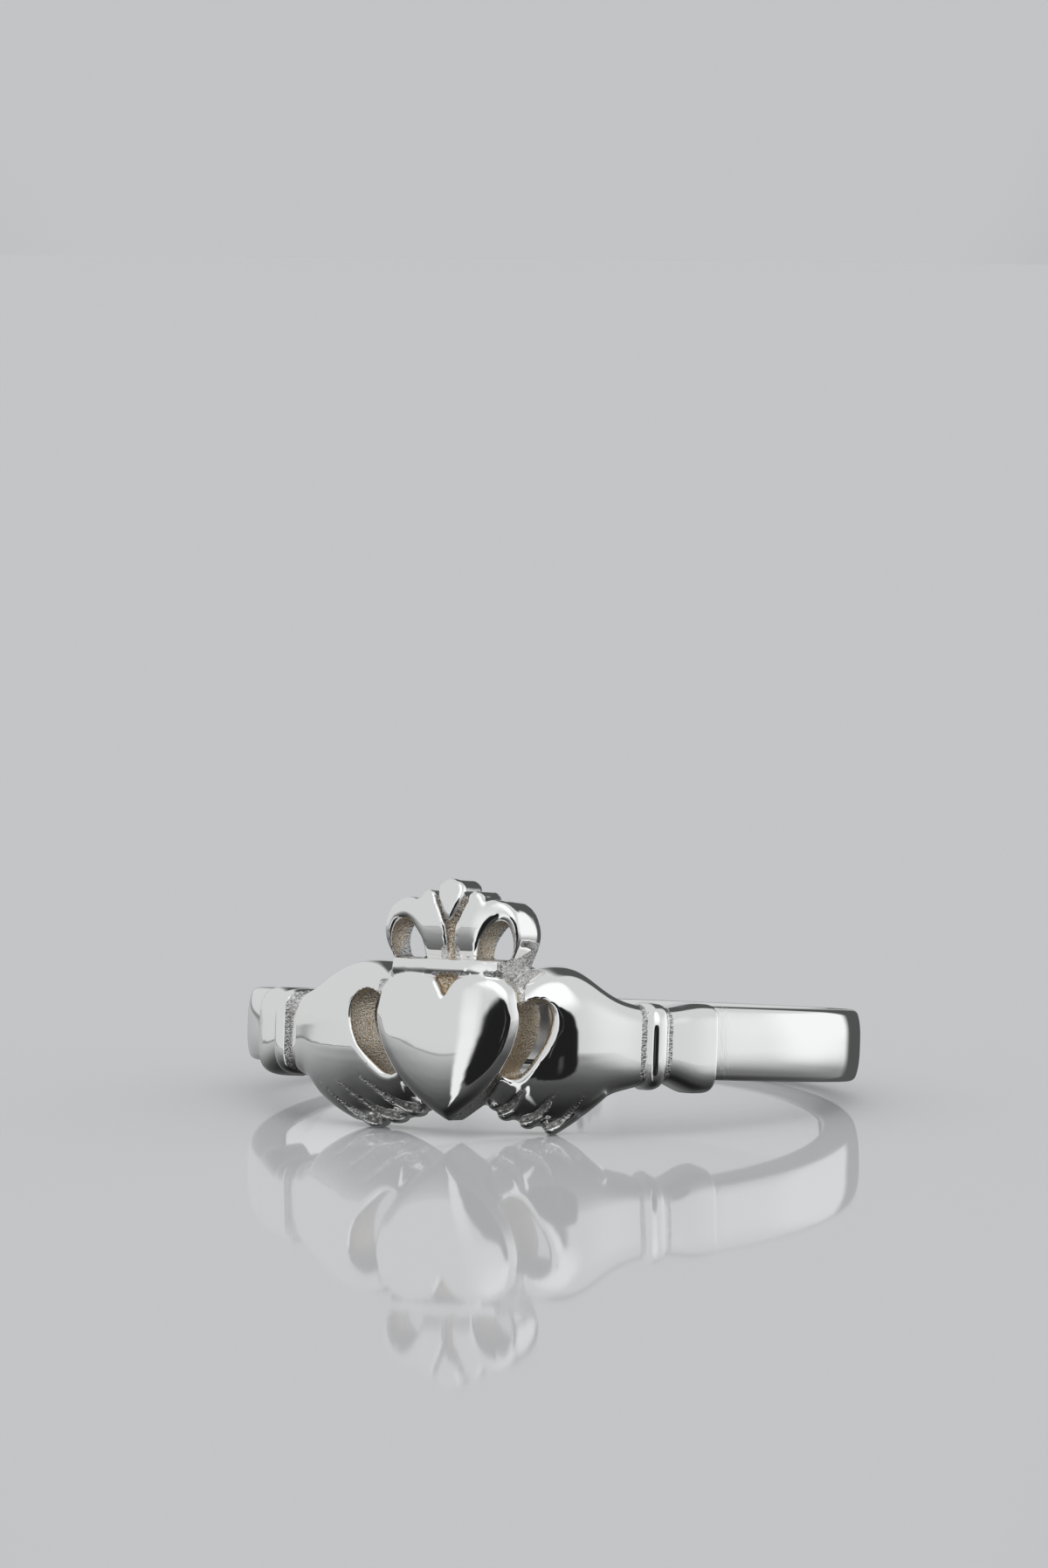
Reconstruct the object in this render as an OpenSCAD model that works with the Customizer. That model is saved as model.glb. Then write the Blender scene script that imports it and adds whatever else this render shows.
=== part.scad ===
// Cast silver ring: two hands hold a heart that wears a crown.
// The sizes below are of the ring about its own axis, with the middle of
// the heart towards -Y. The whole ring is then leaned so that it rests on
// its two lowest fingertips and on the back of the band, with the middle of
// its outer box over the origin.

/* [Finger hole and band] */
// Width of the finger hole, mm
bore_across = 17.7; // [14:0.1:22]
// Thickness of the band from the finger outwards, mm
band_thick = 1.25; // [0.8:0.05:2]
// Width of the band along the finger, mm
band_wide = 2.36; // [1.6:0.1:4]
// Rounding of the band's outer edges, mm
band_edge = 0.5; // [0.1:0.05:0.6]
// Small bevel on the edges that the finger touches, mm
comfort_edge = 0.18; // [0.05:0.01:0.3]

/* [Cuffs] */
// Angle from the middle of the heart to the bead at the wrist, degrees
bead_angle = 38.2; // [30:0.2:46]
// Length of the bead round the ring, degrees
bead_long = 4; // [2:0.2:6]
// How far the bead stands out of the valley beside it, mm
bead_proud = 0.3; // [0.1:0.05:0.5]
// Angle from the middle of the heart to the end of the flared collar, degrees
collar_angle = 48.6; // [44:0.2:56]
// How far the flared end of the collar stands out of the band, mm
collar_proud = 0.36; // [0.1:0.02:0.6]
// Width of the cast crease between the bead and the hand, degrees
crease_long = 0.7; // [0.3:0.1:1.5]
// How much further round the left cuff sits than the right one, degrees
cuff_offset = 4; // [0:0.5:6]

/* [Hands] */
// Height of the back of the hand above the band's outside, mm
palm_rise = 1.05; // [0.3:0.05:2]
// Height of the top edge of the hands above the middle of the band, mm
palm_top = 2.3; // [1.6:0.05:3]
// How far the face of the hand falls back towards the fingertips, mm
palm_fall = 0.9; // [0.4:0.05:1.4]
// Height of the wrist above the band's outside, mm
wrist_rise = 0.21; // [0:0.01:0.6]
// Depth of the bottom edge of the wrists under the middle of the band, mm
wrist_low = 1.45; // [1:0.05:2]
// Height of the top edge of the wrists above the middle of the band, mm
wrist_top = 1.14; // [0.7:0.02:1.8]
// How far the little finger's root lies from the middle of the heart, mm
finger_reach = 4.95; // [4:0.05:6]
// How far the gap between thumb and fingers reaches from the heart's middle, mm
gap_reach = 3.62; // [2.8:0.02:4.2]
// Height of the gap above and under the middle of the band, mm
gap_high = 1.32; // [0.8:0.02:1.8]
// How far the lowest fingertips reach under the middle of the band, mm
finger_drop = 3.25; // [2.2:0.05:3.6]
// Thickness of one finger across, mm
finger_thick = 0.62; // [0.4:0.02:0.8]
// Height of the fingertips above the band's outside, mm
tip_rise = 0.2; // [-0.3:0.05:0.8]
// How much further from the heart the right fingertips end than the left, mm
finger_offset = 0.3; // [0:0.02:0.5]
// How much further from the heart the left fingers start than the right, mm
root_offset = 0.44; // [0:0.02:0.6]
// Width of the grooves between the fingers at the tips, mm
groove_wide = 0.24; // [0.1:0.02:0.4]
// Depth of the grooves between the fingers at the tips, mm
groove_deep = 0.45; // [0.2:0.05:0.8]

/* [Heart] */
// Width of the heart, mm
heart_wide = 4.8; // [3:0.05:6]
// Height of the lobes above the middle of the band, mm
lobe_top = 1.93; // [1.2:0.05:2.6]
// Height of the notch above the middle of the band, mm
notch_top = 1.18; // [0.4:0.05:1.8]
// Depth of the heart's point under the middle of the band, mm
heart_drop = 2.75; // [2:0.05:3.4]
// Height of the heart's edge above the band's outside, at its lobes, mm
heart_rise = 1.35; // [0.6:0.05:2.2]
// Height of the heart's dome above its edge, mm
heart_dome = 0.4; // [0.1:0.05:1]

/* [Crown] */
// Width of the crown's bar, mm
bar_wide = 3.7; // [2.6:0.05:5]
// Height of the crown's bar, mm
bar_high = 0.52; // [0.3:0.02:0.9]
// Height of the bar's front above the band's outside, mm
bar_rise = 1.45; // [0.7:0.05:2.3]
// Height of the crown's middle leaf above the middle of the band, mm
crown_top = 4.93; // [4:0.05:6]
// Width of the crown's front, mm
crown_front = 4.56; // [3.6:0.02:5.6]
// Width of the crown at its widest, measured on its back, mm
crown_wide = 4.84; // [4:0.05:6.4]
// Height of the front of the crown's arches above the band's outside, mm
crown_rise = 1.15; // [0.3:0.05:2]
// How far the middle leaf stands in front of the arches, mm
leaf_proud = 0.17; // [0.05:0.01:0.4]

/* [Hidden] */
bore = bore_across / 2;
band_out = bore + band_thick;
band_half = band_wide / 2;
palm_out = band_out + palm_rise;
wrist_out = band_out + wrist_rise;
tip_out = band_out + tip_rise;
heart_out = band_out + heart_rise;
bar_out = band_out + bar_rise;
crown_out = band_out + crown_rise;
// Cutters and slabs run this far past the highest and lowest metal
past = 1;
core = bore - 0.35;
silver = [0.82, 0.82, 0.83];

function mid(a, b, t) = a + (b - a) * t;
function clamp(v, a, b) = min(max(v, a), b);
function sgn(v) = v < 0 ? -1 : 1;
function col(rows, k) = [for (r = rows) [r[0], r[k]]];
// Value of column k at t, with the corners of the table rounded off over w
function smooth(rows, k, t, w) =
    (lookup(t - w, col(rows, k)) + lookup(t - w / 2, col(rows, k)) + lookup(t, col(rows, k))
     + lookup(t + w / 2, col(rows, k)) + lookup(t + w, col(rows, k))) / 5;
// A point at angle t round the ring, and a point at x on the radius r
function polar(t, r, z) = [r * sin(t), -r * cos(t), z];
function on_ring(x, r, z) = [x, -sqrt(r * r - x * x), z];
function average(l) = [for (k = [0:2]) let (v = [for (p = l) p[k]]) v * [for (p = l) 1] / len(l)];

// Closed skin over a row of loops that all have the same number of points
module skin(loops) {
    n = len(loops[0]);
    m = len(loops);
    polyhedron(
        points = concat([for (l = loops) each l], [average(loops[0]), average(loops[m - 1])]),
        faces = concat(
            [for (j = [0:m - 2], i = [0:n - 1]) each [
                [j * n + i, j * n + (i + 1) % n, (j + 1) * n + (i + 1) % n],
                [j * n + i, (j + 1) * n + (i + 1) % n, (j + 1) * n + i]]],
            [for (i = [0:n - 1]) [m * n, (i + 1) % n, i]],
            [for (i = [0:n - 1]) [m * n + 1, (m - 1) * n + i, (m - 1) * n + (i + 1) % n]]),
        convexity = 6);
}

// Band: a rounded outline turned about the ring's axis
function corner(cx, cy, r, a, b, steps) =
    [for (i = [0:steps]) let (t = mid(a, b, i / steps)) [cx + r * cos(t), cy + r * sin(t)]];
band_start = collar_angle - 1.2;
module band() color(silver)
    rotate([0, 0, band_start - cuff_offset / 2 - 90])
        rotate_extrude(angle = 360 - 2 * band_start, $fn = 160)
            polygon(concat(
                corner(band_out - band_edge, band_half - band_edge, band_edge, 0, 90, 6),
                [[bore + comfort_edge, band_half], [core, band_half - comfort_edge - 0.35],
                 [core, -band_half + comfort_edge + 0.35], [bore + comfort_edge, -band_half]],
                corner(band_out - band_edge, -band_half + band_edge, band_edge, -90, 0, 6)));

// Cuffs and hands: one outline across the ring at each angle
// angle, then shares from the wrist's size to the palm's: radius of the outside,
// bottom, top, and fall of the face towards its bottom
wrist = bead_angle - bead_long / 2 - crease_long;
hand_rows = [
    [4.6, 0.405, 0.389, 0.052, 0.778],
    [6, 0.643, 0.489, 0.224, 0.889],
    [8, 0.881, 0.583, 0.466, 1],
    [10, 0.976, 0.656, 0.638, 1],
    [13, 1, 0.739, 0.879, 1],
    [16, 1, 0.783, 0.983, 1],
    [19, 0.964, 0.706, 1, 0.956],
    [22, 0.857, 0.556, 0.897, 0.822],
    [25, 0.702, 0.406, 0.672, 0.611],
    [28, 0.488, 0.25, 0.397, 0.356],
    [31, 0.262, 0.139, 0.181, 0.156],
    [wrist - 1.2, 0.05, 0.055, 0.035, 0.03],
    [wrist, 0, 0, 0, 0]];
function hand_out(u) = mid(wrist_out, palm_out, u);
function hand_low(u) = -mid(wrist_low, finger_drop, u);
function hand_top(u) = mid(wrist_top, palm_top, u);
// Cuff outline: radius, bottom and top at an angle past the wrist
cuff_r = band_out + 0.08;
cuff_low = band_half + 0.09;
cuff_up = band_half - 0.06;
function bead_at(t) =
    let (s = (t - bead_angle) / (bead_long / 2)) abs(s) >= 1 ? 0 : bead_proud * sqrt(1 - s * s);
function collar_at(t) =
    let (a = bead_angle + bead_long / 2, s = clamp((t - a) / (collar_angle - a), 0, 1))
        collar_proud * (s < 0.8 ? (1 - cos(225 * s)) / 2 : 1 - 1.6 * pow(s - 0.8, 2));
function cuff_at(t) = bead_at(t) + collar_at(t);
// The left cuff sits a little further round than the right one
function along(t, side) = t - side * cuff_offset / 2 * clamp((t - 18) / 15, 0, 1);
module sided(side) mirror([side < 0 ? 1 : 0, 0, 0]) children();

// Outline across the ring: a flat back inside the finger hole, a rounded front
function across(t, out, low, top, n_low, n_top, fall = 0) = let (m = (low * 0.45 + top * 0.55)) concat(
    [polar(t, core, low)],
    [for (i = [1:14]) let (a = -90 + 12 * i, n = a < 0 ? n_low : n_top,
        c = pow(abs(cos(a)), 2 / n), s = pow(abs(sin(a)), 2 / n))
        polar(t, mid(core + 0.4, out - (a < 0 ? fall * s * s : 0), c), m + (a < 0 ? low - m : top - m) * s)],
    [polar(t, core, top)]);
hand_round = 4.6;
function hand_loop(t, side) = across(along(t, side), hand_out(smooth(hand_rows, 1, t, 1.2)),
    hand_low(smooth(hand_rows, 2, t, 1.2)), hand_top(smooth(hand_rows, 3, t, 1.2)),
    hand_round, 3.6, palm_fall * lookup(t, col(hand_rows, 4)));
function cuff_loop(t, side, inset = 0) = across(along(t, side), cuff_r + cuff_at(t) - inset,
    -cuff_low - cuff_at(t) + inset, cuff_up + cuff_at(t) * 0.8 - inset, 4.4, 4.4);

hand_steps = [for (t = [4.6:1.5:wrist - 0.6]) t];
bead_steps = [for (i = [0:8]) bead_angle - bead_long / 2 * cos(180 * i / 8)];
collar_steps = [for (i = [1:8]) mid(bead_angle + bead_long / 2, collar_angle, i / 8)];
module cuff(side) color(silver)
    sided(side) skin(concat(
        [cuff_loop(wrist - 0.6, side, 0.12), cuff_loop(bead_steps[0] - 0.1, side, 0.12)],
        [for (t = bead_steps) cuff_loop(t, side, 0)],
        [for (t = collar_steps) cuff_loop(t, side, 0)],
        [cuff_loop(collar_angle + 0.35, side, 0.1)]));
module palm(side) color(silver)
    sided(side) skin([for (t = concat(hand_steps, [wrist + 0.1])) hand_loop(t, side)]);

// Radius of the back of the hand at a place given by x and height
function palm_at(q) = let (t = asin(abs(q[0]) / (tip_out + 0.2)),
    out = hand_out(lookup(t, col(hand_rows, 1))), low = hand_low(lookup(t, col(hand_rows, 2))),
    m = low * 0.45 + hand_top(lookup(t, col(hand_rows, 3))) * 0.55,
    v = clamp((m - q[1]) / (m - low), 0, 0.999))
    mid(core + 0.4, out - palm_fall * lookup(t, col(hand_rows, 4)) * v * v,
        pow(1 - pow(v, hand_round), 1 / hand_round));

// Fingers: root and tip as shares of the reach and of the drop, and share of
// the thickness
finger_shares = [
    [[0.616, -0.246], [0.174, -0.698], 0.86],
    [[0.747, -0.292], [0.218, -0.788], 0.96],
    [[0.879, -0.338], [0.364, -0.862], 0.96],
    [[1, -0.431], [0.521, -0.911], 0.92]];
function hand_place(q) = [q[0] * finger_reach, q[1] * finger_drop];
fingers_at = [for (f = finger_shares) [hand_place(f[0]), hand_place(f[1]), f[2]]];
finger_steps = [0, 0.3, 0.55, 0.75, 0.86, 0.92, 0.96, 0.985, 1];
// Shift along x that takes the mean hand to the right or the left one
function shift(s, side) = side * mid(-root_offset, finger_offset, s) / 2;
function boxy(v) = sgn(v) * pow(abs(v), 0.8);
function tip_round(s) = s <= 0.88 ? 1 : sqrt(max(0.12, 1 - pow((s - 0.88) / 0.123, 2)));
function finger_loop(f, s, side) =
    let (d = f[1] - f[0], u = d / norm(d), n = [-u[1], u[0]],
         p = f[0] + d * s + n * 0.1 * sin(180 * s) + [shift(s, side), 0],
         half = finger_thick / 2 * f[2] * tip_round(s),
         out = mid(palm_at(p) - 0.1, tip_out, clamp((s - 0.45) / 0.5, 0, 1)),
         inner = mid(core - 0.1, bore + 0.25, s),
         rc = (out + inner) / 2, rd = (out - inner) / 2 * mid(1, tip_round(s), 0.75))
    [for (i = [0:11]) let (a = -30 * i, q = p + n * half * boxy(cos(a)),
        limit = mid(palm_at(q) - 0.06, 2 * palm_out, clamp((s - 0.5) / 0.25, 0, 1)),
        r = min(rc + rd * boxy(sin(a)), limit))
        on_ring(q[0] * r / tip_out, r, q[1])];
function finger_loops(f, side) = [for (s = finger_steps) finger_loop(f, s, side)];
module finger(f, side) color(silver)
    sided(side) skin(finger_loops(f, side));

// Grooves between the fingers: five places from the root to past the tips, as
// the same shares, and the shares of the width and of the depth at each
groove_shares = [
    [[0.626, -0.338], [0.519, -0.477], [0.414, -0.603], [0.303, -0.708], [0.141, -0.751]],
    [[0.778, -0.425], [0.697, -0.535], [0.606, -0.64], [0.485, -0.769], [0.303, -0.831]],
    [[0.909, -0.468], [0.828, -0.585], [0.747, -0.689], [0.606, -0.837], [0.424, -0.902]]];
grooves_at = [for (g = groove_shares) [for (q = g) hand_place(q)]];
groove_width_shares = [0.1, 0.35, 0.75, 1, 1.25];
groove_depth_shares = [0.1, 0.5, 0.8, 1, 1.3];
function groove_loop(g, i, side) =
    let (a = g[max(i - 1, 0)], b = g[min(i + 1, 4)], u = (b - a) / norm(b - a), n = [-u[1], u[0]],
         p = g[i] + [shift(i / 4, side), 0], w = groove_wide / 2 * groove_width_shares[i],
         deep = groove_deep * groove_depth_shares[i], r = max(palm_at(p), tip_out - 0.15),
         top = p + n * w * (deep + 0.4) / deep, low = p - n * w * (deep + 0.4) / deep)
    [on_ring(top[0], r + 0.4, top[1]),
     on_ring(p[0] + n[0] * w * 0.4, r - deep, p[1] + n[1] * w * 0.4),
     on_ring(p[0] - n[0] * w * 0.4, r - deep, p[1] - n[1] * w * 0.4),
     on_ring(low[0], r + 0.4, low[1])];
module groove(g, side)
    sided(side) skin([for (i = [0:4]) groove_loop(g, i, side)]);

// Outline of the gap between thumb and fingers, pierced right through, as
// shares of its reach and of its height
gap_shares = [
    [0.483, 0.773], [0.608, 0.848], [0.691, 0.947], [0.801, 1], [0.901, 0.894], [0.972, 0.712],
    [1, 0.5], [0.975, 0.25], [0.89, -0.129], [0.746, -0.545], [0.619, -0.909], [0.558, -1],
    [0.483, -0.924], [0.442, -0.682], [0.442, 0]];
gap_outline = [for (q = gap_shares) [q[0] * gap_reach, q[1] * gap_high]];
module thumb_gap() rotate([90, 0, 0]) translate([0, 0, bore * 0.7])
    linear_extrude(palm_out + past - bore * 0.7) polygon(gap_outline);

// Cylinder slice with a given outline, from inside the finger hole out to a radius
module slab(outline, out) intersection() {
    rotate([90, 0, 0]) translate([0, 0, bore * 0.8]) linear_extrude(out) polygon(outline);
    translate([0, 0, -crown_top - past]) cylinder(r = out, h = 2 * (crown_top + past), $fn = 180);
}

module hand(side) {
    difference() {
        union() {
            palm(side);
            for (f = fingers_at) finger(f, side);
        }
        sided(side) thumb_gap();
        for (g = grooves_at) groove(g, side);
    }
}

// Heart: one side of its outline from the notch to the point, as shares
heart_shares = [
    [0, 0], [0.05, 0.32], [0.1, 0.62], [0.16, 0.82], [0.26, 0.92], [0.4, 0.99], [0.5, 1],
    [0.64, 0.95], [0.78, 0.76], [0.91, 0.36], [0.98, -0.08], [1, -0.14], [0.985, -0.24],
    [0.945, -0.34], [0.885, -0.44], [0.8, -0.53], [0.7, -0.625], [0.585, -0.71], [0.45, -0.795],
    [0.32, -0.86], [0.19, -0.92], [0.08, -0.97], [0, -1]];
function heart_point(q) = let (x = heart_wide / 2 * q[0])
    [x, q[1] >= 0 ? mid(notch_top, lobe_top, q[1]) : mid(notch_top, -heart_drop, -q[1])];
heart_side = [for (q = heart_shares) heart_point(q)];
heart_outline = concat(heart_side,
    [for (i = [len(heart_side) - 2:-1:1]) [-heart_side[i][0], heart_side[i][1]]]);
heart_rim = [[-heart_drop, heart_out - 1.05], [-2.3, heart_out - 0.7], [-1.3, heart_out - 0.3],
    [0, heart_out - 0.05], [2, heart_out]];
// The same with the notch filled, which the middle of the face follows
notch_fill = [[0, 0.88], [0.16, 0.92], [0.26, 0.95], [0.4, 0.99], [0.5, 1]];
heart_full = [for (p = heart_outline) let (u = abs(p[0]) / (heart_wide / 2))
    u < 0.5 && p[1] > 0 ? [p[0], max(p[1], mid(notch_top, lobe_top, lookup(u, notch_fill)))] : p];
// Loops of a cushion: share of the outline about a centre, and rise of the face
cushion_steps = [[1, 0], [0.985, 0.3], [0.955, 0.55], [0.9, 0.76], [0.8, 0.9], [0.6, 0.98], [0.3, 1]];
function cushion(outline, full, c, rim, rise) = concat(
    [[for (p = outline) on_ring(p[0], core, p[1])]],
    [for (s = cushion_steps) [for (i = [0:len(outline) - 1])
        let (p = mid(outline[i], full[i], clamp((1 - s[0]) / 0.35, 0, 1)), q = c + (p - c) * s[0])
        on_ring(q[0], lookup(q[1], rim) + rise * s[1], q[1])]]);
module heart() color(silver)
    skin(heart_points);

// Crown: outlines of one arch, of the middle leaf and of the hole through an
// arch, as shares of half the front width and of the height above the heart
arch_shares = [
    [0.062, 0.09], [0.062, 0.457], [0.132, 0.617], [0.219, 0.757], [0.246, 0.83], [0.289, 0.867],
    [0.351, 0.877], [0.421, 0.85], [0.482, 0.777], [0.561, 0.79], [0.658, 0.79], [0.789, 0.757],
    [0.904, 0.677], [0.974, 0.563], [1, 0.44], [0.974, 0.307], [0.899, 0.19], [0.825, 0.09]];
leaf_shares = [
    [0, 0.543], [-0.061, 0.61], [-0.132, 0.723], [-0.184, 0.83], [-0.184, 0.91], [-0.123, 0.97],
    [0, 1], [0.123, 0.97], [0.184, 0.91], [0.184, 0.83], [0.132, 0.723], [0.061, 0.61]];
hole_shares = [
    [0.368, 0.18], [0.421, 0.307], [0.518, 0.457], [0.623, 0.55], [0.728, 0.583], [0.816, 0.543],
    [0.868, 0.45], [0.886, 0.34], [0.86, 0.24], [0.816, 0.18]];
function crown_place(q) = [q[0] * crown_front / 2, mid(lobe_top, crown_top, q[1])];
arch_outline = [for (q = arch_shares) crown_place(q)];
leaf_outline = [for (q = leaf_shares) crown_place(q)];
hole_outline = [for (q = hole_shares) crown_place(q)];
// How deep each loop lies behind the front, its share of the spread, its share of the outline
crown_steps = [[1.85, 0.75, 1], [1.2, 1, 1], [0.75, 0.8, 1], [0.4, 0.3, 1], [0.16, 0, 0.985],
    [0.04, -0.2, 0.95], [0, -0.4, 0.88]];
// Leaf of the crown: widest some way behind its front, with rounded front edges
function leaf(outline, c, out, spread) = concat(
    [[for (p = outline) on_ring(p[0], core, p[1])]],
    [for (s = crown_steps) [for (p = outline) let (q = c + (p - c) * s[2])
        on_ring(q[0] * mid(1, spread, s[1]), out - s[0], q[1])]]);
module arch(side) color(silver) sided(side)
    difference() {
        skin(leaf(arch_outline, crown_place([0.548, 0.457]), crown_out, crown_wide / crown_front));
        rotate([90, 0, 0]) translate([0, 0, bore * 0.8]) linear_extrude(crown_out) polygon(hole_outline);
    }
module middle_leaf() color(silver)
    skin(leaf(leaf_outline, crown_place([0, 0.807]), crown_out + leaf_proud, 1));
bar_low = lobe_top - 0.07;
// Section of the bar: radius, and share of its height
bar_section = [[core, 0], [bar_out - 0.16, 0], [bar_out, 0.26], [bar_out, 0.94], [bar_out - 0.06, 1],
    [core, 1]];
bar_steps = [-1, -0.75, -0.5, -0.25, 0, 0.25, 0.5, 0.75, 1];
module bar() color(silver)
    skin([for (s = bar_steps) [for (q = bar_section)
        on_ring(s * (bar_wide / 2 + 0.03 - 0.06 * q[1]), q[0], bar_low + bar_high * q[1])]]);
function upright(x, a, b) = [[-x, a], [x, a], [x, b], [-x, b]];
// Metal behind the notch and behind the crown's centre strip
module backing() color(silver) {
    slab(upright(0.31 * heart_wide / 2, notch_top - 0.28, bar_low + bar_high / 2), heart_out - 0.75);
    slab(upright(0.13 * crown_front / 2, bar_low + bar_high / 2, mid(lobe_top, crown_top, 0.79)),
        crown_out - 0.45);
}
module crown() {
    arch(1);
    arch(-1);
    middle_leaf();
    bar();
}

// Rest: the lean at which the lowest finger point and the band's back
// edge stand on the floor together
low_points = [for (side = [-1, 1], f = fingers_at) each [for (l = finger_loops(f, side)) each l]];
reach_back = band_out - band_edge;
function lean_for(p) = let (a = -p[1] + reach_back, b = p[2] + band_half - band_edge, h = norm([a, b]))
    -asin(band_edge / h) - atan2(b, a);
rest_tilt = max([for (p = low_points) lean_for(p)]);
rest_lift = reach_back * sin(rest_tilt) + (band_half - band_edge) * cos(rest_tilt) + band_edge;

// The leaned ring reaches this far back and front of its own middle, and is
// moved so that its outer box is centred over the origin
heart_points = cushion(heart_outline, heart_full, [0, -0.15], heart_rim, heart_dome);
reach_out = reach_back * cos(rest_tilt) + (band_half - band_edge) * sin(rest_tilt) + band_edge;
reach_in = min([for (l = heart_points, p = l) p[1] * cos(rest_tilt) + p[2] * sin(rest_tilt)]);
middle_shift = -(reach_out + reach_in) / 2;

module ring()
    translate([0, middle_shift, rest_lift]) rotate([-rest_tilt, 0, 0])
        difference() {
            union() {
                band();
                cuff(1);
                cuff(-1);
                hand(1);
                hand(-1);
                heart();
                crown();
                backing();
            }
            translate([0, 0, -finger_drop - past])
                cylinder(r = bore, h = finger_drop + crown_top + 2 * past, $fn = 180);
        }

ring();
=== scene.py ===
"""Cast silver ring: two hands hold a heart that wears a crown.

Shapes are worked out in millimetres about the ring's own axis, with the middle of the
heart towards -Y, and then leaned and moved to where the ring lies on the floor.
"""

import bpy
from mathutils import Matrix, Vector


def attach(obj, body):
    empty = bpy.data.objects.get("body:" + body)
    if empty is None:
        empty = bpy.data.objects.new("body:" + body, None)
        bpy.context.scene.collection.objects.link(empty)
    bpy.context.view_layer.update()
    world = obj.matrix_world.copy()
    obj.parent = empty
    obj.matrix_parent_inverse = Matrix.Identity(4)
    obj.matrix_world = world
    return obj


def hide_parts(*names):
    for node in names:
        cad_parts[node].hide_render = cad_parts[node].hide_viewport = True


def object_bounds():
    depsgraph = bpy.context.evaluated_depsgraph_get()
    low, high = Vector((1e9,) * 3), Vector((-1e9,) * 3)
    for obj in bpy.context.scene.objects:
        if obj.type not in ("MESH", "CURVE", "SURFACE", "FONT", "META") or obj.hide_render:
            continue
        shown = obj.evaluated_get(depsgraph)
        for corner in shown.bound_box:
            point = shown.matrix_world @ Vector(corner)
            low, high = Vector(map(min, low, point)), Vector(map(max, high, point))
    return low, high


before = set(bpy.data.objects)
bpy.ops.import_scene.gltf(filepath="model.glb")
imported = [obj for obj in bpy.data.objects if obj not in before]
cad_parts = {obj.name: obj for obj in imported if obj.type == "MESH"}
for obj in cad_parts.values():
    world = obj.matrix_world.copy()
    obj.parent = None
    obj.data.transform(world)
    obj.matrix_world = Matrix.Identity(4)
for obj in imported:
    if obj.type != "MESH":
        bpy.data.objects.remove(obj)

import math

import bpy
import numpy as np
from mathutils import Matrix, Vector
from mathutils.bvhtree import BVHTree

cad_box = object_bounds()

# Sizes in millimetres and angles in degrees, the same as in the part's source
FINGER_HOLE = 17.7 / 2
BAND_OUT = FINGER_HOLE + 1.25
BAND_HALF = 2.36 / 2
COMFORT_EDGE = 0.18
BEAD_ANGLE, BEAD_LONG, BEAD_PROUD = 38.2, 4.0, 0.3
BEAD_START, BEAD_END = BEAD_ANGLE - BEAD_LONG / 2, BEAD_ANGLE + BEAD_LONG / 2
COLLAR_ANGLE, COLLAR_PROUD = 48.6, 0.36
CUFF_OFFSET = 4.0
PALM_OUT, PALM_TOP, PALM_FALL = BAND_OUT + 1.05, 2.3, 0.9
WRIST_OUT, WRIST_LOW, WRIST_TOP = BAND_OUT + 0.21, 1.45, 1.14
FINGER_DROP, FINGER_THICK, FINGER_REACH = 3.25, 0.62, 4.95
TIP_OUT = BAND_OUT + 0.2
GROOVE_WIDE, GROOVE_DEEP = 0.24, 0.45
GAP_REACH, GAP_HIGH = 3.62, 1.32
HEART_WIDE, LOBE_TOP, NOTCH_TOP, HEART_DROP = 4.8, 1.93, 1.18, 2.75
HEART_OUT = BAND_OUT + 1.35
BAR_WIDE, BAR_HIGH, BAR_OUT = 3.7, 0.52, BAND_OUT + 1.45
BAR_LOW = LOBE_TOP - 0.07
BAR_TOP = BAR_LOW + BAR_HIGH
CROWN_TOP, CROWN_FRONT, CROWN_WIDE = 4.93, 4.56, 4.84
CROWN_OUT, LEAF_PROUD = BAND_OUT + 1.15, 0.17
# How far in the solids reach before the finger hole is cut
CORE = FINGER_HOLE - 0.35
# Sizes that are matched more closely than in the part's source, or that it does without
BAND_EDGE, BAND_CROWN, BAND_SLOPE = 0.26, 0.1, 16.8
CREASE_LONG = 0.45
WRIST = BEAD_START - CREASE_LONG
COLLAR_LONGER = 1.4
FINGER_OFFSET, ROOT_OFFSET, LITTLE_FINGER_DROP = 0.2, 0.64, 0.32
HEART_DOME = 0.28
# How far the inner edges of heart and crown stay back from the finger
BACK_EDGE = 0.45
# How the ring lies: leaned back, lifted to stand on its fingertips, and centred
LEAN, LIFT, MIDDLE = 5.789, 2.1448, 0.7978
TO_FLOOR = (Matrix.Translation((0, MIDDLE * 0.001, LIFT * 0.001))
            @ Matrix.Rotation(math.radians(-LEAN), 4, "X") @ Matrix.Scale(0.001, 4))
# Finishes of a face while the ring is put together
POLISHED, CAST, HOLLOW = 0, 1, 2
# A radius past every face of the ring
BEYOND = 12


# Curves through short tables

def follow(rows, column, at):
    """A smooth curve through one column of a table, with no overshoot between its rows."""
    x = np.array([r[0] for r in rows], float)
    y = np.array([r[column] for r in rows], float)
    step = np.diff(x)
    slope = np.diff(y) / step
    tangent = np.empty_like(y)
    both = slope[:-1] * slope[1:]
    total = slope[:-1] + slope[1:]
    tangent[1:-1] = np.where(both > 0, 2 * both / np.where(total == 0, 1, total), 0)
    tangent[0], tangent[-1] = slope[0], slope[-1]
    at = np.clip(np.asarray(at, float), x[0], x[-1])
    i = np.clip(np.searchsorted(x, at) - 1, 0, len(step) - 1)
    s = (at - x[i]) / step[i]
    return ((1 + 2 * s) * (1 - s) ** 2 * y[i] + s * (1 - s) ** 2 * step[i] * tangent[i]
            + s * s * (3 - 2 * s) * y[i + 1] + s * s * (s - 1) * step[i] * tangent[i + 1])


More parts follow.
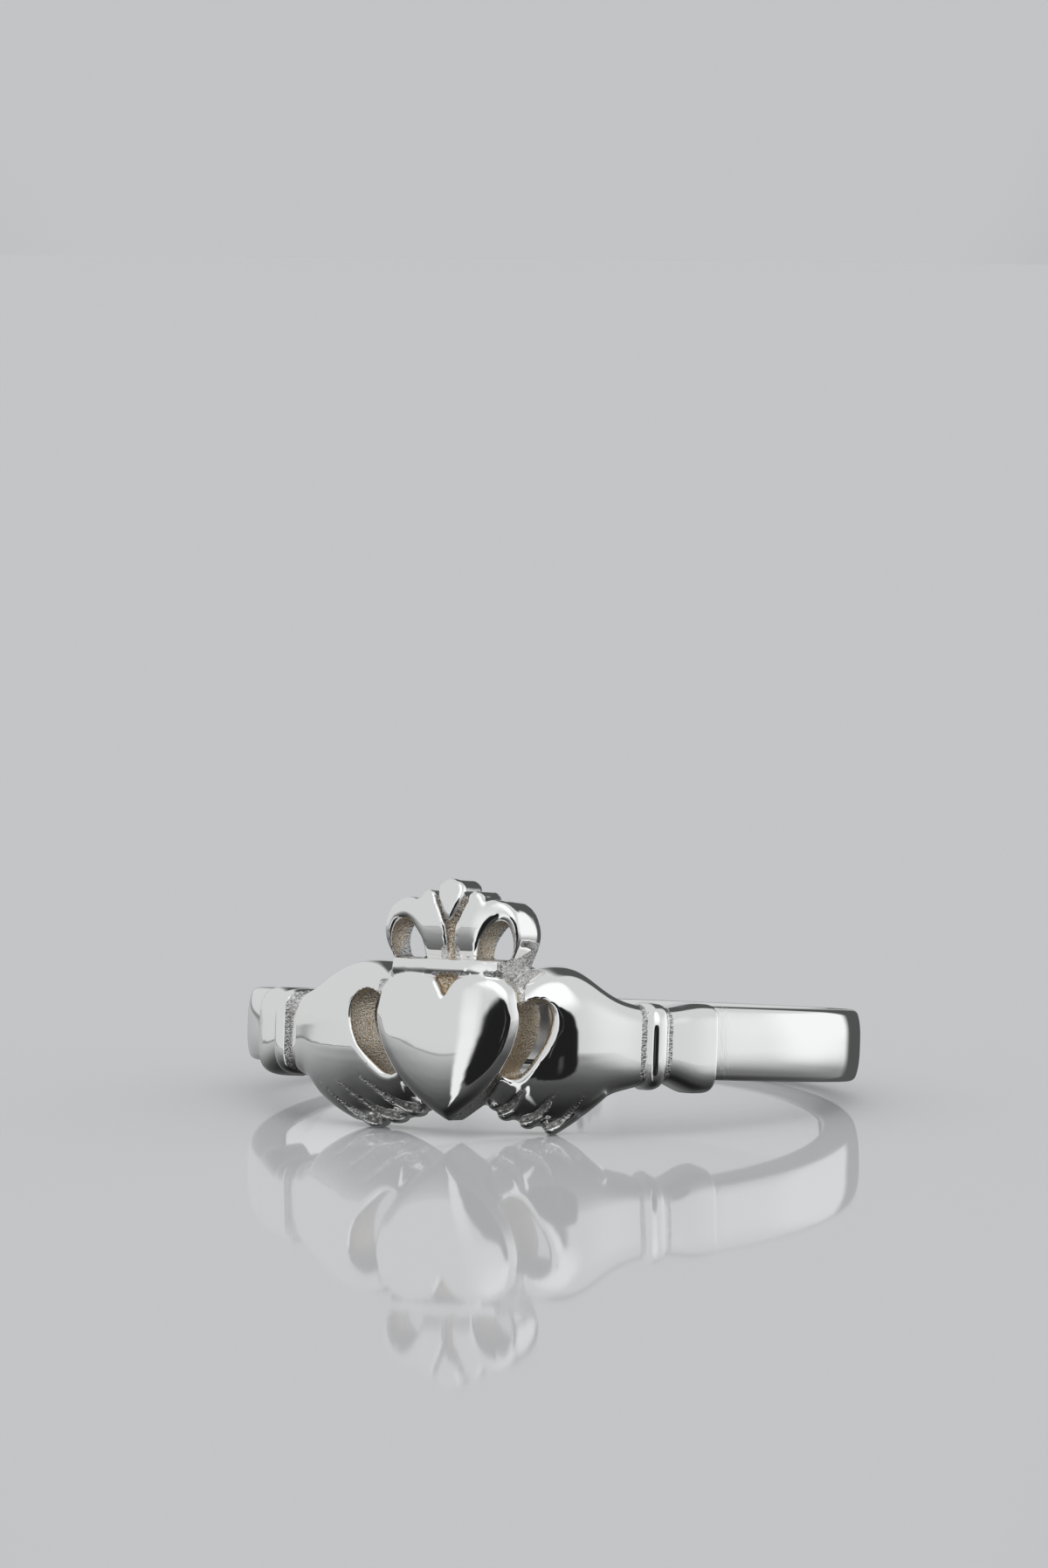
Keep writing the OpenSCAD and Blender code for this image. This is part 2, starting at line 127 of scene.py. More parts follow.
def flowing(points, count):
    """A smooth open curve through a few points, as count evenly spaced places."""
    p = np.array(points, float)
    p = np.vstack([2 * p[0] - p[1], p, 2 * p[-1] - p[-2]])
    fine = []
    for a, b, c, d in zip(p, p[1:], p[2:], p[3:]):
        ta, tb, tc, td = np.cumsum([0] + [max(np.linalg.norm(v), 1e-6) ** 0.5
                                          for v in (b - a, c - b, d - c)])
        for t in np.linspace(tb, tc, 24, endpoint=False):
            ab = a + (b - a) * (t - ta) / (tb - ta)
            bc = b + (c - b) * (t - tb) / (tc - tb)
            cd = c + (d - c) * (t - tc) / (td - tc)
            abc = ab + (bc - ab) * (t - ta) / (tc - ta)
            bcd = bc + (cd - bc) * (t - tb) / (td - tb)
            fine.append(abc + (bcd - abc) * (t - tb) / (tc - tb))
    fine = np.array(fine + [p[-2]])
    run = np.concatenate([[0], np.cumsum(np.linalg.norm(np.diff(fine, axis=0), axis=1))])
    at = np.linspace(0, run[-1], count)
    return np.stack([np.interp(at, run, fine[:, k]) for k in range(p.shape[1])], 1)


def ease(v):
    v = np.clip(v, 0, 1)
    return v * v * (3 - 2 * v)


def mix(a, b, t):
    return a + (b - a) * t


def signed_power(v, p):
    return np.sign(v) * np.abs(v) ** p


def polar(angle, r, z):
    a = np.radians(angle)
    return np.stack(np.broadcast_arrays(r * np.sin(a), -r * np.cos(a), z), -1)


def on_ring(x, r, z):
    return np.stack(np.broadcast_arrays(x, -np.sqrt(np.maximum(r * r - x * x, 0)), z), -1)


def on_face(outline, face, under=0.0):
    """Lays an outline of x and height on a face, or a little under it."""
    return on_ring(outline[:, 0], face(outline[:, 0], outline[:, 1]) - under, outline[:, 1])


def outward(outline):
    """Unit normals of a closed outline that runs round anticlockwise or clockwise."""
    ahead = np.roll(outline, -1, 0) - np.roll(outline, 1, 0)
    n = np.stack([ahead[:, 1], -ahead[:, 0]], 1)
    n /= np.maximum(np.linalg.norm(n, axis=1), 1e-9)[:, None]
    area = np.sum(outline[:, 0] * np.roll(outline[:, 1], -1)
                  - np.roll(outline[:, 0], -1) * outline[:, 1])
    return n if area > 0 else -n


def quarter(steps):
    """Steps of a rounded edge: share of its width from the wall, share of its depth left."""
    return [(1 - math.cos(a), 1 - math.sin(a)) for a in np.linspace(0, math.pi / 2, steps)]


def rounded_front(outline, centre, face, edge, deep, steps, first, least):
    """Loops over a rounded edge and then over a face to its centre."""
    inwards = centre - outline
    far = np.linalg.norm(inwards, axis=1)
    inwards /= far[:, None]
    # where the way to the centre leaves the wall askew, it is longer across the edge
    facing = np.maximum(np.einsum("ij,ij->i", inwards, -outward(outline)), least)
    loops = [on_face(outline + inwards * (edge * u / facing)[:, None], face, deep * v)
             for u, v in quarter(steps)]
    return loops + [on_face(outline + inwards * mix(far, edge / facing, share)[:, None], face)
                    for share in np.linspace(first, 0.02, steps)]


# Meshes in millimetres

def skin(name, loops, finish=POLISHED, finish_rows=None):
    """Closed solid over a row of loops; finish_rows gives a finish for each band of faces."""
    loops = np.array(loops, float)
    m, n = loops.shape[:2]
    points = np.vstack([loops.reshape(-1, 3), loops[0].mean(0), loops[-1].mean(0)])
    faces, finishes = [], []
    for j in range(m - 1):
        for i in range(n):
            k = (i + 1) % n
            faces.append((j * n + i, j * n + k, (j + 1) * n + k, (j + 1) * n + i))
            finishes.append(finish_rows[j] if finish_rows is not None else finish)
    ends = [finishes[0], finishes[-1]]
    for i in range(n):
        k = (i + 1) % n
        faces += [(m * n, k, i), (m * n + 1, (m - 1) * n + i, (m - 1) * n + k)]
        finishes += ends
    mesh = bpy.data.meshes.new(name)
    mesh.from_pydata([tuple(p) for p in points], [], faces)
    for kind in ("polished_cast_silver", "cast", "hollow"):
        mesh.materials.append(bpy.data.materials[kind])
    mesh.polygons.foreach_set("material_index", finishes)
    if signed_volume(mesh) < 0:
        mesh.flip_normals()
    return place(name, mesh)


def place(name, mesh):
    obj = bpy.data.objects.new(name, mesh)
    bpy.context.scene.collection.objects.link(obj)
    return obj


def signed_volume(mesh):
    mesh.calc_loop_triangles()
    tris = np.empty(len(mesh.loop_triangles) * 3, np.int32)
    mesh.loop_triangles.foreach_get("vertices", tris)
    p = corners(mesh)[tris.reshape(-1, 3)]
    return np.einsum("ij,ij->i", p[:, 0], np.cross(p[:, 1], p[:, 2])).sum() / 6


def corners(mesh):
    co = np.empty(len(mesh.vertices) * 3)
    mesh.vertices.foreach_get("co", co)
    return co.reshape(-1, 3)


def mirrored(name, obj):
    """The same solid on the other side of the ring, with its faces still outwards."""
    mesh = obj.data.copy()
    co = corners(mesh)
    co[:, 0] *= -1
    mesh.vertices.foreach_set("co", co.ravel())
    mesh.flip_normals()
    return place(name, mesh)


def flared(name, outline, widths, face, deep=0.8):
    """Cutter with straight walls and a mouth that rounds over into the face around it."""
    n = outward(outline)
    loops, finishes = [on_face(outline + n * (widths + 0.05)[:, None], face, -0.5)], []
    for u, v in quarter(12)[::-1]:
        loops.append(on_face(outline + n * (widths * u)[:, None], face, widths * deep * v))
        finishes.append(HOLLOW if u < 0.06 else POLISHED)
    edge = face(outline[:, 0], outline[:, 1]) - widths * deep
    for t in np.linspace(0.12, 1, 8):
        loops.append(on_ring(outline[:, 0], mix(edge, FINGER_HOLE - 0.6, t), outline[:, 1]))
        finishes.append(HOLLOW)
    return skin(name, loops, finish_rows=finishes)


def settled(obj):
    """The object with its modifiers made real."""
    graph = bpy.context.evaluated_depsgraph_get()
    mesh = bpy.data.meshes.new_from_object(obj.evaluated_get(graph), depsgraph=graph)
    obj.modifiers.clear()
    obj.data = mesh
    return obj


def round_ring(x, y):
    """Angle from the middle of the heart, the same to both sides."""
    return np.degrees(np.arctan2(np.abs(x), -y))


def box(left, right, low, high, out=BEYOND, rise=0.0):
    """Place between two x and two heights, and up to a radius; its top may rise inwards."""
    def inside(x, y, z):
        deep = out - np.hypot(x, y)
        return (x > left) & (x < right) & (z > low) & (z < high + rise * deep) & (deep > 0)
    return inside


def stretch(start, end):
    """Place on the outside of the ring between two angles."""
    return lambda x, y, z: ((round_ring(x, y) > start) & (round_ring(x, y) < end)
                            & (np.hypot(x, y) > FINGER_HOLE + 0.3))


def left_as_cast(obj, *places):
    """Takes the polish off the faces that lie in the given places."""
    mesh = obj.data
    middle = np.empty(len(mesh.polygons) * 3)
    mesh.polygons.foreach_get("center", middle)
    finish = np.empty(len(mesh.polygons), np.int32)
    mesh.polygons.foreach_get("material_index", finish)
    for inside in places:
        finish[inside(*middle.reshape(-1, 3).T)] = CAST
    mesh.polygons.foreach_set("material_index", finish)


def worked(base, tool, operation):
    """Joins a tool solid to a base solid, or cuts it away, and removes the tool."""
    step = base.modifiers.new("work", "BOOLEAN")
    step.operation, step.solver, step.object = operation, "MANIFOLD", tool
    settled(base)
    bpy.data.objects.remove(tool)
    return base


def fused(base, *others):
    for other in others:
        worked(base, other, "UNION")
    return base


def cut(base, *tools):
    for tool in tools:
        worked(base, tool, "DIFFERENCE")
    return base


# Finishes

def colour(code):
    """Linear colour from an sRGB hex code."""
    parts = [int(code[k:k + 2], 16) / 255 for k in (1, 3, 5)]
    return [p / 12.92 if p <= 0.04045 else ((p + 0.055) / 1.055) ** 2.4 for p in parts] + [1]


def node(tree, kind, links=None, **settings):
    """Adds a node to a tree, with its settings, and feeds its inputs."""
    made = tree.nodes.new(kind)
    for key, value in settings.items():
        setattr(made, key, value)
    for key, value in (links or {}).items():
        if isinstance(value, bpy.types.NodeSocket):
            tree.links.new(value, made.inputs[key])
        else:
            made.inputs[key].default_value = value
    return made


def per_mm(size):
    """Scale of a pattern whose grain has this size in millimetres."""
    return 1000 / size


def silver():
    """Cast sterling silver: mirror bright where the wheel reached, grey and grainy elsewhere.

    To the eye it gives clean reflections of the studio on the raised faces, and a fine,
    sparkling grain in the hollows, where old polish turns the silver a little brown.
    """
    made = bpy.data.materials.new("polished_cast_silver")
    made.use_nodes = True
    tree = made.node_tree
    tree.nodes.clear()
    # sizes in millimetres of the cast grain and its lumps, drawn coarser than real casting
    # sand so that they show, the ragged edge of the polish, its waves, and the file strokes
    grain_size, lump_size, ragged_size, wave_size, stroke_size = 0.042, 0.06, 0.16, 2.4, 0.07
    at = node(tree, "ShaderNodeTexCoord").outputs["Object"]
    cast = node(tree, "ShaderNodeAttribute", attribute_name="cast").outputs["Fac"]
    # grains lie a little longer along the walls' depth
    laid = node(tree, "ShaderNodeVectorMath", {0: at, 1: (1, 0.45, 1)}, operation="MULTIPLY")
    laid = laid.outputs[0]
    ragged = node(tree, "ShaderNodeTexNoise", {
        "Vector": at, "Scale": per_mm(ragged_size), "Detail": 4.0})
    shifted = node(tree, "ShaderNodeMath", {0: ragged.outputs["Fac"], 1: 0.55, 2: cast},
                   operation="MULTIPLY_ADD")
    rough = node(tree, "ShaderNodeMapRange", {
        "Value": shifted.outputs[0], "From Min": 0.62, "From Max": 0.86},
        interpolation_type="SMOOTHSTEP").outputs[0]
    grain = node(tree, "ShaderNodeTexNoise", {
        "Vector": laid, "Scale": per_mm(grain_size), "Detail": 2.0, "Roughness": 0.55})
    lumps = node(tree, "ShaderNodeTexVoronoi", {"Vector": laid, "Scale": per_mm(lump_size)},
                 feature="SMOOTH_F1")
    height = node(tree, "ShaderNodeMath", {
        0: lumps.outputs["Distance"], 1: -1.2, 2: grain.outputs["Fac"]}, operation="MULTIPLY_ADD")
    deep = node(tree, "ShaderNodeMapRange", {
        "Value": height.outputs[0], "From Min": -0.45, "From Max": 0.35}).outputs[0]
    hollow = node(tree, "ShaderNodeAttribute", attribute_name="hollow").outputs["Fac"]
    # in the Mix nodes for colour, 0 is the share and 6 and 7 are the two colours
    low, high = (node(tree, "ShaderNodeMix", {0: hollow, 6: colour(outside), 7: colour(inside)},
                      data_type="RGBA").outputs[2]
                 for outside, inside in (("#9A9691", "#BDA27A"), ("#FFFFFF", "#FFF7E8")))
    tone = node(tree, "ShaderNodeMix", {0: deep, 6: low, 7: high}, data_type="RGBA")
    cast_bump = node(tree, "ShaderNodeBump", {
        "Height": height.outputs[0], "Strength": 1.0, "Distance": 0.000035})
    rough_silver = node(tree, "ShaderNodeBsdfPrincipled", {
        "Base Color": tone.outputs[2], "Metallic": 1.0, "Roughness": 0.3,
        "Normal": cast_bump.outputs[0]})
    wave = node(tree, "ShaderNodeTexNoise", {"Vector": at, "Scale": per_mm(wave_size), "Detail": 1.0})
    wave_bump = node(tree, "ShaderNodeBump", {
        "Height": wave.outputs["Fac"], "Strength": 0.15, "Distance": 0.0001})
    # file marks run across the band beside the collars
    filed = node(tree, "ShaderNodeAttribute", attribute_name="filed").outputs["Fac"]
    upright = node(tree, "ShaderNodeVectorMath", {0: at, 1: (1, 1, 0.08)}, operation="MULTIPLY")
    strokes = node(tree, "ShaderNodeTexNoise", {
        "Vector": upright.outputs[0], "Scale": per_mm(stroke_size), "Detail": 3.0})
    marks = node(tree, "ShaderNodeMath", {0: strokes.outputs["Fac"], 1: filed}, operation="MULTIPLY")
    mark_bump = node(tree, "ShaderNodeBump", {
        "Height": marks.outputs[0], "Strength": 0.7, "Distance": 0.00003,
        "Normal": wave_bump.outputs[0]})
    dulled = node(tree, "ShaderNodeMath", {0: filed, 1: 0.1, 2: 0.05}, operation="MULTIPLY_ADD")
    mirror = node(tree, "ShaderNodeBsdfPrincipled", {
        "Base Color": colour("#FCFBF9"), "Metallic": 1.0, "Roughness": dulled.outputs[0],
        "Normal": mark_bump.outputs[0]})
    both = node(tree, "ShaderNodeMixShader", {
        0: rough, 1: mirror.outputs[0], 2: rough_silver.outputs[0]})
    node(tree, "ShaderNodeOutputMaterial", {"Surface": both.outputs[0]})
    return made


silver()
# these two only carry the finishes CAST and HOLLOW until the skin is made
bpy.data.materials.new("cast")
bpy.data.materials.new("hollow")


# Hands. Angle, then shares from the wrist's size to the palm's: radius of the outside,
# bottom, top, and fall of the face towards its bottom
HAND_ROWS = [
    [4.6, 0.405, 0.389, 0.052, 0.778], [6, 0.643, 0.489, 0.224, 0.889],
    [8, 0.881, 0.583, 0.466, 1], [10, 0.976, 0.656, 0.638, 1], [13, 1, 0.739, 0.879, 1],
    [16, 1, 0.783, 0.983, 1], [19, 0.964, 0.73, 1, 0.956], [22, 0.857, 0.625, 0.897, 0.822],
    [25, 0.702, 0.49, 0.672, 0.611], [28, 0.488, 0.29, 0.397, 0.356],
    [31, 0.262, 0.139, 0.181, 0.156], [WRIST - 1.2, 0.05, 0.055, 0.035, 0.03],
    [WRIST, 0, 0, 0, 0]]
# How squarely the hand's outline turns to its flat back, at its bottom and its top
HAND_ROUND, HAND_ROUND_TOP = 4.6, 3.6
HAND_ANGLES = np.linspace(0, 40, 801)
# How far above their flat back the rounded outside of hands and cuffs starts
BACK_RISE = 0.4


def evened(rows, column, spread=1.1):
    """A table's column on fine steps, with its changes of slope rounded off."""
    values, wide = follow(rows, column, HAND_ANGLES), 60
    weight = np.exp(-0.5 * (np.arange(-wide, wide + 1) * HAND_ANGLES[1] / spread) ** 2)
    return np.convolve(np.pad(values, wide, mode="edge"), weight / weight.sum(), mode="valid")


HAND = [evened(HAND_ROWS, column) for column in (1, 2, 3, 4)]


def hand_sizes(angle, side):
    """Radius, bottom, top, fall and middle height of a hand at an angle."""
    out, low, top, fall = (np.interp(angle, HAND_ANGLES, values) for values in HAND)
    low, top = -mix(WRIST_LOW, FINGER_DROP, low), mix(WRIST_TOP, PALM_TOP, top)
    # the left hand is fuller under its little finger
    fuller = LITTLE_FINGER_DROP * ease((angle - 17) / 5) * ease((32 - angle) / 4.5) if side < 0 else 0
    return mix(WRIST_OUT, PALM_OUT, out), low - fuller, top, PALM_FALL * fall, middle_height(low, top)


def middle_height(low, top):
    return low * 0.45 + top * 0.55


def across(angle, out, low, top, middle, n_low, n_top, fall=0.0, count=56):
    """Outline across the ring: a flat back inside the finger hole and a rounded front."""
    a = np.radians(np.linspace(-86, 86, count))
    under = a < 0
    n = np.where(under, n_low, n_top)
    c, s = np.cos(a) ** (2 / n), np.abs(np.sin(a)) ** (2 / n)
    r = mix(CORE + BACK_RISE, out - np.where(under, fall * s * s, 0), c)
    z = middle + np.where(under, low - middle, top - middle) * s
    front = polar(angle, r, z)
    return np.vstack([polar(angle, CORE, low), front, polar(angle, CORE, top)])


def along(angle, side):
    """The left cuff sits a little further round, and the right one has the longer collar."""
    longer = COLLAR_LONGER * max(angle - BEAD_END, 0) / (COLLAR_ANGLE - BEAD_END) if side > 0 else 0
    # the offset grows over the wrist and is whole at the cuff
    return angle - side * CUFF_OFFSET / 2 * np.clip((angle - 18) / 15, 0, 1) + longer


def palm_at(x, z, side):
    """Radius of the back of the hand at a place given by x and height."""
    angle = np.degrees(np.arcsin(np.abs(x) / (TIP_OUT + 0.2)))
    out, low, top, fall, middle = hand_sizes(angle, side)
    v = np.clip((middle - z) / (middle - low), 0, 0.999)
    return mix(CORE + BACK_RISE, out - fall * v * v, (1 - v ** HAND_ROUND) ** (1 / HAND_ROUND))


def palm(side):
    loops = []
    for angle in np.linspace(HAND_ROWS[0][0], WRIST + 0.1, 74):
        out, low, top, fall, middle = hand_sizes(angle, side)
        loops.append(across(along(angle, side), out, low, top, middle,
                            HAND_ROUND, HAND_ROUND_TOP, fall))
    return skin("palm", loops)


# Fingers, from the index finger down: root and tip as shares of the reach and of the
# drop, and share of the thickness
FINGER_SHARES = [
    ((0.656, -0.246), (0.204, -0.698), 0.86), ((0.787, -0.292), (0.268, -0.788), 0.96),
    ((0.919, -0.338), (0.414, -0.862), 0.96), ((1.04, -0.431), (0.571, -0.911), 0.92)]
# Share of its length at which a finger starts to round off
TIP_FROM = 0.88


def shift(s, side):
    """Half of what sets the two hands' fingers apart, at a share of the way to their tips."""
    return side * mix(-ROOT_OFFSET, FINGER_OFFSET, s) / 2


def finger(shares, side):
    root, tip, thick = shares
    root = np.array(root) * (FINGER_REACH, FINGER_DROP)
    tip = np.array(tip) * (FINGER_REACH, FINGER_DROP)
    d = tip - root
    u = d / np.linalg.norm(d)
    n = np.array([-u[1], u[0]])
    a = np.radians(-np.arange(0, 360, 12))
    loops = []
    over_tip = np.sin(np.radians(np.linspace(5, 90, 10)))
    for s in np.concatenate([np.linspace(0.1, 0.86, 20), TIP_FROM + (1 - TIP_FROM) * over_tip]):
        # it bows a little on its way, and its end is round
        p = root + d * s + n * 0.1 * math.sin(math.pi * s) + (shift(s, side), 0)
        end = 1.0 if s <= TIP_FROM else math.sqrt(max(0.1, 1 - ((s - TIP_FROM) / 0.123) ** 2))
        half = FINGER_THICK / 2 * thick * end
        out = mix(palm_at(p[0], p[1], side) - 0.1, TIP_OUT, np.clip((s - 0.45) / 0.5, 0, 1))
        inner = mix(CORE - 0.1, FINGER_HOLE + 0.25, s)
        centre, reach = (out + inner) / 2, (out - inner) / 2 * mix(1, end, 0.75)
        x = p[0] + n[0] * half * signed_power(np.cos(a), 0.8)
        z = p[1] + n[1] * half * signed_power(np.cos(a), 0.8)
        limit = mix(palm_at(x, z, side) - 0.06, 2 * PALM_OUT, np.clip((s - 0.5) / 0.25, 0, 1))
        r = np.minimum(centre + reach * signed_power(np.sin(a), 0.8), limit)
        loops.append(on_ring(x * r / TIP_OUT, r, z))
    return skin("finger", loops)


# Grooves: middle line as shares of the reach and of the drop, then along it the shares
# of the width and of the depth
GROOVE_SHARES = [
    [(0.662, -0.338), (0.559, -0.477), (0.457, -0.603), (0.35, -0.708), (0.191, -0.751)],
    [(0.814, -0.425), (0.737, -0.535), (0.649, -0.64), (0.532, -0.769), (0.353, -0.831)],
    [(0.945, -0.468), (0.868, -0.585), (0.79, -0.689), (0.653, -0.837), (0.474, -0.902)]]
GROOVE_SIZES = [[0, 0.1, 0.1], [0.25, 0.3, 0.5], [0.5, 0.55, 0.8], [0.75, 0.7, 0.9], [1, 0.85, 0.9]]


def groove(shares, side):
    """Tapered groove between two fingers, cast and never reached by the polish."""
    count = 44
    centre = flowing(np.array(shares) * (FINGER_REACH, FINGER_DROP), count)
    s = np.linspace(0, 1, count)
    centre[:, 0] += shift(s, side)
    u = np.gradient(centre, axis=0)
    u /= np.linalg.norm(u, axis=1)[:, None]
    n = np.stack([-u[:, 1], u[:, 0]], 1)
    wide = GROOVE_WIDE / 2 * follow(GROOVE_SIZES, 1, s)
    deep = GROOVE_DEEP * follow(GROOVE_SIZES, 2, s)
    r = np.maximum(palm_at(centre[:, 0], centre[:, 1], side), TIP_OUT - 0.15)
    loops = []
    for p, across_it, w, d, face in zip(centre, n, wide, deep, r):
        # half of the section, from the lip over the wall to a narrow rounded floor
        half = [(1.7, 0.4), (1.12, 0.05), (0.92, -0.06), (0.62, -0.55 * d), (0.25, -0.92 * d)]
        section = [(-k, h) for k, h in half] + half[::-1]
        loops.append([on_ring(p[0] + across_it[0] * w * k, face + h, p[1] + across_it[1] * w * k)
                      for k, h in section])
    return skin("groove", loops, CAST)


# Gap between thumb and fingers: outline of the hole, as shares, and the width in
# millimetres of the polished lip that rolls into it
GAP_SHARES = [
    (0.47, 0.72, 0.06), (0.60, 0.79, 0.1), (0.69, 0.84, 0.15), (0.765, 0.92, 0.18), (0.83, 0.87, 0.3),
    (0.872, 0.66, 0.42), (0.882, 0.42, 0.45), (0.872, 0.2, 0.45), (0.835, -0.12, 0.42),
    (0.77, -0.44, 0.36), (0.69, -0.76, 0.32), (0.62, -0.94, 0.3), (0.56, -1, 0.24),
    (0.49, -0.94, 0.12), (0.445, -0.7, 0.05), (0.43, 0, 0.03)]


def thumb_gap(side):
    points = [(x * GAP_REACH, z * GAP_HIGH, lip) for x, z, lip in GAP_SHARES]
    smooth = flowing(points + points[:1], 181)[:-1]
    outline, lips = smooth[:, :2], np.maximum(smooth[:, 2], 0.02)
    if side < 0:
        # the left gap is wider open, but not at its lower end
        share = 0.6 * ease((outline[:, 1] / GAP_HIGH + 0.95) / 0.7)
        outline, lips = outline + outward(outline) * (lips * share)[:, None], lips * (1 - share)
    return flared("gap", outline, lips, lambda x, z: palm_at(x, z, side))


def hand(side):
    """One hand, made on the right: the left is worked out there too and then mirrored."""
    whole = fused(palm(side), *[finger(f, side) for f in FINGER_SHARES])
    # the end of the wrist, beside the crease, was never polished
    left_as_cast(whole, stretch(along(WRIST - 0.25, side), along(WRIST + 1, side)))
    cut(whole, thumb_gap(side), *[groove(g, side) for g in GROOVE_SHARES])
    return whole if side > 0 else flipped(whole)


def flipped(obj):
    other = mirrored(obj.name + "_left", obj)
    bpy.data.objects.remove(obj)
    return other


# Heart: one side of its outline from the notch to the point, as shares
HEART_SHARES = [
    (0, 0), (0.05, 0.32), (0.1, 0.62), (0.16, 0.82), (0.26, 0.92), (0.4, 0.99), (0.5, 1),
    (0.64, 0.95), (0.78, 0.76), (0.91, 0.36), (0.98, -0.08), (1, -0.14), (0.985, -0.24),
    (0.945, -0.34), (0.885, -0.44), (0.8, -0.53), (0.7, -0.625), (0.585, -0.71), (0.45, -0.795),
    (0.32, -0.86), (0.19, -0.92), (0.08, -0.97), (0, -1)]
# Height, how far the face falls back there, and how sharply it is ridged
HEART_FACE = [
    [-HEART_DROP, 0.82, 0.24], [-2.4, 0.5, 0.2], [-1.95, 0.28, 0.12], [-1.5, 0.15, 0.075],
    [-1.2, 0.095, 0.055], [-0.8, 0.045, 0.038], [-0.4, 0.015, 0.026], [0, 0, 0.02],
    [0.6, 0, 0.016], [1.2, 0.02, 0.014], [LOBE_TOP, 0.08, 0.014]]
# Width and depth of its rounded edge
HEART_EDGE, HEART_EDGE_DEEP = 0.38, 0.33


def heart_at(x, z):
    return HEART_OUT + HEART_DOME - follow(HEART_FACE, 1, z) - follow(HEART_FACE, 2, z) * x * x


def heart():
    side = flowing([(HEART_WIDE / 2 * x, mix(NOTCH_TOP, LOBE_TOP, z) if z >= 0
                     else mix(NOTCH_TOP, -HEART_DROP, -z)) for x, z in HEART_SHARES], 150)
    outline = np.vstack([side, (side * (-1, 1))[-2:0:-1]])
    # the edge is rounded less inside the notch
    soft = np.where(outline[:, 1] > 0.5, mix(0.3, 1, ease(np.abs(outline[:, 0]) / 0.8)), 1)
    edge, edge_deep = HEART_EDGE * soft, HEART_EDGE_DEEP * soft
    rim = heart_at(outline[:, 0], outline[:, 1]) - edge_deep
    loops = []
    for r, share in ((CORE, 1), (FINGER_HOLE, 0.8)):
        # towards the finger the walls draw in
        q = outline - outward(outline) * BACK_EDGE * share
        loops.append(on_ring(q[:, 0], r, q[:, 1]))
    for t in (0, 0.3, 0.6, 0.9):
        loops.append(on_ring(outline[:, 0], mix(FINGER_HOLE + BACK_EDGE, rim, t), outline[:, 1]))
    walls = len(loops)
    loops += rounded_front(outline, np.array([0, -0.1]), heart_at, edge, edge_deep, 16, 0.9, 0.45)
    finishes = [HOLLOW] * (walls + 1) + [POLISHED] * (len(loops) - walls - 2)
    solid = skin("heart", loops, finish_rows=finishes)
    # its lower walls and the right lobe's wall stay as cast
    left_as_cast(solid, box(-3, 3, -3, -1.2, HEART_OUT - 0.6), box(1.6, 3, 1, 2.5, HEART_OUT - 0.3))
    return solid


# Crown: outlines of one arch, of the middle leaf and of the hole through an arch, as
# shares of half the front width and of the height above the heart; the hole's third
# number is the width of its rounded mouth in millimetres
ARCH_SHARES = [
    (0.062, -0.08), (0.062, 0.457), (0.132, 0.617), (0.219, 0.757), (0.246, 0.83), (0.289, 0.867),
    (0.351, 0.877), (0.421, 0.85), (0.482, 0.777), (0.561, 0.79), (0.658, 0.79), (0.789, 0.757),
    (0.904, 0.677), (0.974, 0.563), (1, 0.44), (0.974, 0.307), (0.91, 0.19), (0.85, 0.06),
    (0.8, -0.08)]
LEAF_SHARES = [
    (0, 0.543), (-0.061, 0.61), (-0.132, 0.723), (-0.184, 0.83), (-0.184, 0.91), (-0.123, 0.97),
    (0, 1), (0.123, 0.97), (0.184, 0.91), (0.184, 0.83), (0.132, 0.723), (0.061, 0.61)]
HOLE_SHARES = [
    (0.378, 0.16, 0.06), (0.392, 0.26, 0.08), (0.44, 0.37, 0.12), (0.51, 0.45, 0.18),
    (0.59, 0.52, 0.24), (0.69, 0.56, 0.27), (0.79, 0.535, 0.25), (0.862, 0.44, 0.18),
    (0.886, 0.33, 0.13), (0.87, 0.24, 0.1), (0.83, 0.16, 0.08)]
# How far behind its front the crown is how much of its greatest width
CROWN_SPREAD = [[0, 0], [0.16, 0.03], [0.4, 0.3], [0.75, 0.8], [1.2, 1], [1.7, 0.85], [2.2, 0.7]]
# Height at which the crown stands out furthest, and how large its dome's radius is
CROWN_BELLY, CROWN_CURVE = 3.65, 3.0


def crown_place(shares):
    return np.array([(row[0] * CROWN_FRONT / 2, mix(LOBE_TOP, CROWN_TOP, row[1]), *row[2:])
                     for row in shares])


def crown_at(x, z, out=CROWN_OUT):
    """Radius of the crown's front, domed from bottom to top and the same at every x."""
    return out + 0.02 - (z - CROWN_BELLY) ** 2 / (2 * CROWN_CURVE)


def leaf(name, outline, centre, out, spread, edges):
    """Leaf of the crown: widest some way behind its front, with rounded front edges."""
    x, z = outline.T
    front = crown_at(x, z, out)
    back = FINGER_HOLE + BACK_EDGE
    loops = [on_ring(centre[0] + (x - centre[0]) * k, back + r, centre[1] + (z - centre[1]) * k)
             for k, r in ((0.82, 0), (0.93, 0.04), (0.99, 0.14))]
    for depth in (1.7, 1.5, 1.2, 0.95, 0.75, 0.55, 0.4, 0.3):
        loops.append(on_ring(x * mix(1, spread, follow(CROWN_SPREAD, 1, depth)), front - depth, z))
    loops += rounded_front(outline, centre, lambda x, z: crown_at(x, z, out), edges, edges,
                           9, 0.88, 0.5)
    return skin(name, loops)


